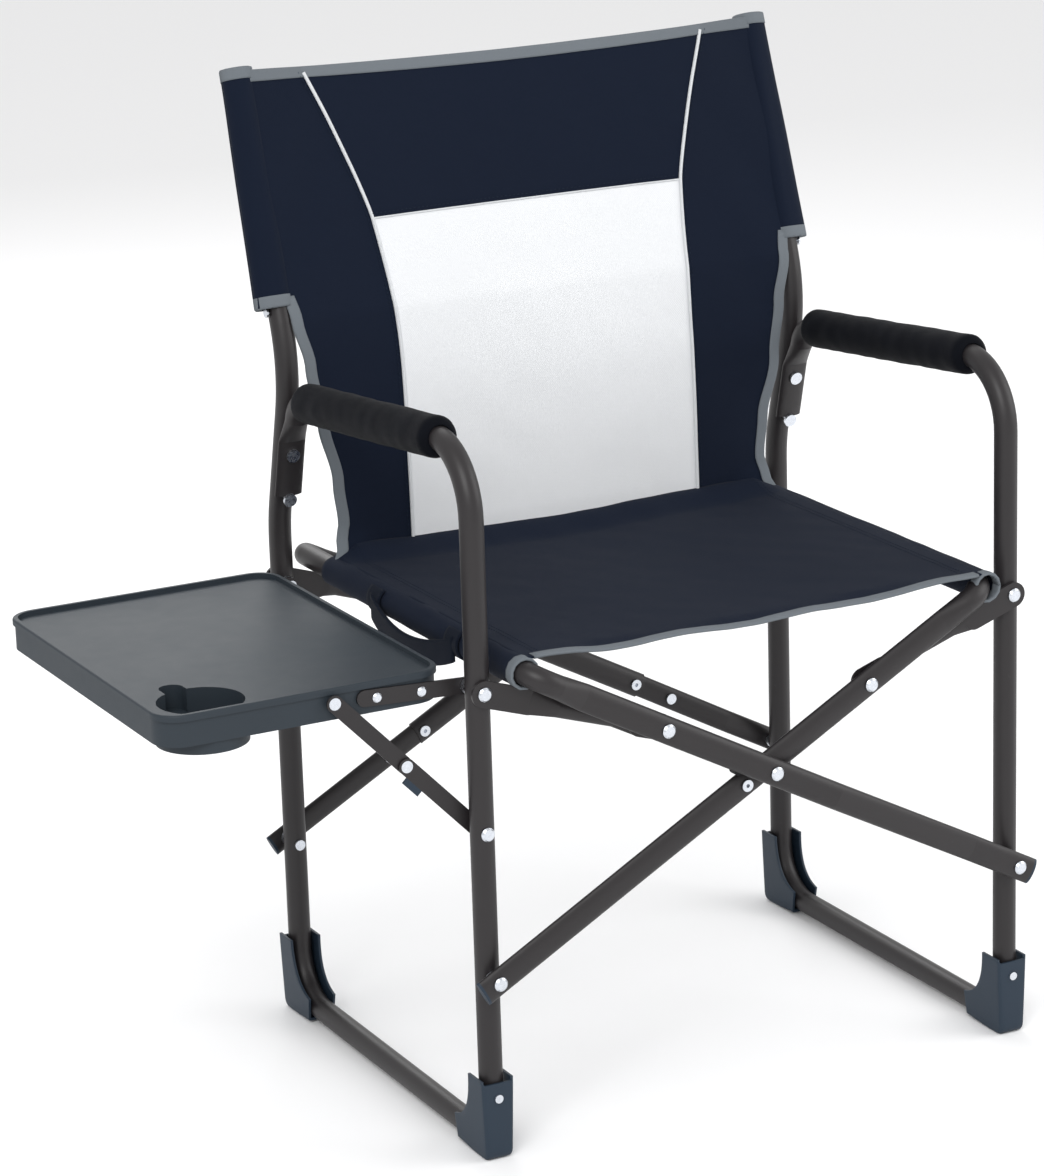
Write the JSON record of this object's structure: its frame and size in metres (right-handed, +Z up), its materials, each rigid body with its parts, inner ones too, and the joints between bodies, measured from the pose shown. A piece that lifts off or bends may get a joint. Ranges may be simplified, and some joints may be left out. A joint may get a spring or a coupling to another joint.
{
  "type": "folding director chair",
  "caption": "Folding director chair: two tubular side frames, a scissor of cross frames, sling seat and back, padded arms and a hinged side table with a cup well.",
  "frame": {"origin": "on the floor, under the middle of the whole chair with its table open", "axes": "+X from the table side across the seat to the other arm, +Y from the front of the seat to the back, +Z up"},
  "size_m": [0.8644, 0.5192, 0.9298],
  "materials": {
    "frame_paint": "satin powder coat",
    "zinc_steel": "bright zinc",
    "table_plastic": "fine grain",
    "foot_plastic": "satin",
    "arm_foam": "napped",
    "black_rubber": "matte",
    "navy_fabric": "woven polyester"
  },
  "bodies": {
    "left_side": {"left_side_tube": "frame_paint", "left_arm_pad": "arm_foam", "left_front_foot": "foot_plastic", "left_rear_foot": "foot_plastic", "left_foot_screws": "zinc_steel", "left_arm_rivets": "zinc_steel", "left_low_rivets": "zinc_steel", "left_high_rivets": "zinc_steel", "left_spacers": "zinc_steel", "left_post_plug": "foot_plastic", "left_fabric_screw": "zinc_steel", "left_back_sleeve": "navy_fabric", "brace_leg_rivets": "zinc_steel", "back_panel": "navy_fabric"},
    "right_side": {"right_side_tube": "frame_paint", "right_arm_pad": "arm_foam", "right_front_foot": "foot_plastic", "right_rear_foot": "foot_plastic", "right_foot_screws": "zinc_steel", "right_arm_rivets": "zinc_steel", "right_low_rivets": "zinc_steel", "right_high_rivets": "zinc_steel", "right_spacers": "zinc_steel", "right_post_plug": "foot_plastic", "right_fabric_screw": "zinc_steel", "right_back_sleeve": "navy_fabric"},
    "cross_a": {"cross_a_tube": "frame_paint", "cross_a_rear_lower_tube": "frame_paint", "cross_a_end_plugs": "foot_plastic", "cross_a_rivets": "zinc_steel", "left_seat_sleeve": "navy_fabric", "carry_handle": "navy_fabric"},
    "cross_b": {"cross_b_tube": "frame_paint", "cross_b_rear_lower_tube": "frame_paint", "cross_b_end_plugs": "foot_plastic", "cross_b_rivets": "zinc_steel", "right_seat_sleeve": "navy_fabric", "centre_rivets": "zinc_steel", "centre_spacers": "zinc_steel", "fold_bumper": "black_rubber", "bumper_rivet": "zinc_steel"},
    "table": {"table_top": "table_plastic", "table_front_bracket": "frame_paint", "table_rear_bracket": "frame_paint", "bracket_rivets": "zinc_steel", "brace_table_rivets": "zinc_steel"},
    "seat": {"seat_sling": "navy_fabric"},
    "front_left_link": {"front_left_link": "frame_paint"},
    "front_right_link": {"front_right_link": "frame_paint"},
    "front_brace_low": {"front_brace_lower": "frame_paint", "front_brace_joint_rivet": "zinc_steel", "front_brace_catch": "foot_plastic"},
    "front_brace_high": {"front_brace_upper": "frame_paint"},
    "rear_left_link": {"rear_left_link": "frame_paint"},
    "rear_right_link": {"rear_right_link": "frame_paint"},
    "rear_brace_low": {"rear_brace_lower": "frame_paint", "rear_brace_joint_rivet": "zinc_steel", "rear_brace_catch": "foot_plastic"},
    "rear_brace_high": {"rear_brace_upper": "frame_paint"}
  },
  "joints": [
    {"name": "fold", "type": "hinge", "parent": "left_side", "child": "cross_b", "pos_m": [-0.14317, -0.2106, 0.1735], "axis": [0, -1, 0], "range_deg": [0, 49.16], "deforming": ["back_panel", "seat_sling", "right_seat_sleeve"]},
    {"name": "scissor", "type": "hinge", "parent": "cross_b", "child": "cross_a", "pos_m": [0.13383, -0.2106, 0.324], "axis": [0, -1, 0], "range_deg": [-102.97, 0], "deforming": ["left_seat_sleeve", "carry_handle"]},
    {"name": "right_frame", "type": "hinge", "parent": "cross_a", "child": "right_side", "pos_m": [0.41083, -0.2106, 0.1735], "axis": [0, -1, 0], "range_deg": [0, 49.16]},
    {"name": "front_left_link_swing", "type": "hinge", "parent": "left_side", "child": "front_left_link", "pos_m": [-0.14317, -0.2106, 0.4395], "axis": [0, -1, 0], "range_deg": [0, 91.63]},
    {"name": "front_right_link_swing", "type": "hinge", "parent": "right_side", "child": "front_right_link", "pos_m": [0.41083, -0.2106, 0.4395], "axis": [0, -1, 0], "range_deg": [-91.63, 0]},
    {"name": "rear_left_link_swing", "type": "hinge", "parent": "left_side", "child": "rear_left_link", "pos_m": [-0.14317, 0.2014, 0.4395], "axis": [0, -1, 0], "range_deg": [0, 91.63]},
    {"name": "rear_right_link_swing", "type": "hinge", "parent": "right_side", "child": "rear_right_link", "pos_m": [0.41083, 0.2014, 0.4395], "axis": [0, -1, 0], "range_deg": [-91.63, 0]},
    {"name": "seat_rise", "type": "slide", "parent": "left_side", "child": "seat", "axis": [-0.5565, 0, 0.8309], "range_m": [0, 0.35721]},
    {"name": "table_fold", "type": "hinge", "parent": "left_side", "child": "table", "pos_m": [-0.14317, -0.2106, 0.4395], "axis": [0, -1, 0], "range_deg": [0, 90]},
    {"name": "front_brace_low_swing", "type": "hinge", "parent": "left_side", "child": "front_brace_low", "pos_m": [-0.14317, -0.1993, 0.30934], "axis": [0, -1, 0], "range_deg": [-43.02, 0]},
    {"name": "front_brace_high_swing", "type": "hinge", "parent": "table", "child": "front_brace_high", "pos_m": [-0.27317, -0.1993, 0.446], "axis": [0, -1, 0], "range_deg": [0, 43.02]},
    {"name": "rear_brace_low_swing", "type": "hinge", "parent": "left_side", "child": "rear_brace_low", "pos_m": [-0.14317, 0.1901, 0.30934], "axis": [0, -1, 0], "range_deg": [-43.02, 0]},
    {"name": "rear_brace_high_swing", "type": "hinge", "parent": "table", "child": "rear_brace_high", "pos_m": [-0.27317, 0.1901, 0.446], "axis": [0, -1, 0], "range_deg": [0, 43.02]}
  ],
  "couplings": [
    {"joint": "scissor", "follows": "fold", "ratio": -2.0944},
    {"joint": "right_frame", "follows": "fold", "ratio": 1},
    {"joint": "seat_rise", "follows": "fold", "m_per_rad": 0.4163},
    {"joint": "front_left_link_swing", "follows": "fold", "ratio": 1.8638},
    {"joint": "front_right_link_swing", "follows": "fold", "ratio": -1.8638},
    {"joint": "front_brace_low_swing", "follows": "table_fold", "ratio": -0.47805},
    {"joint": "front_brace_high_swing", "follows": "table_fold", "ratio": 0.47805},
    {"joint": "rear_left_link_swing", "follows": "fold", "ratio": 1.8638},
    {"joint": "rear_right_link_swing", "follows": "fold", "ratio": -1.8638},
    {"joint": "rear_brace_low_swing", "follows": "table_fold", "ratio": -0.47805},
    {"joint": "rear_brace_high_swing", "follows": "table_fold", "ratio": 0.47805}
  ]
}
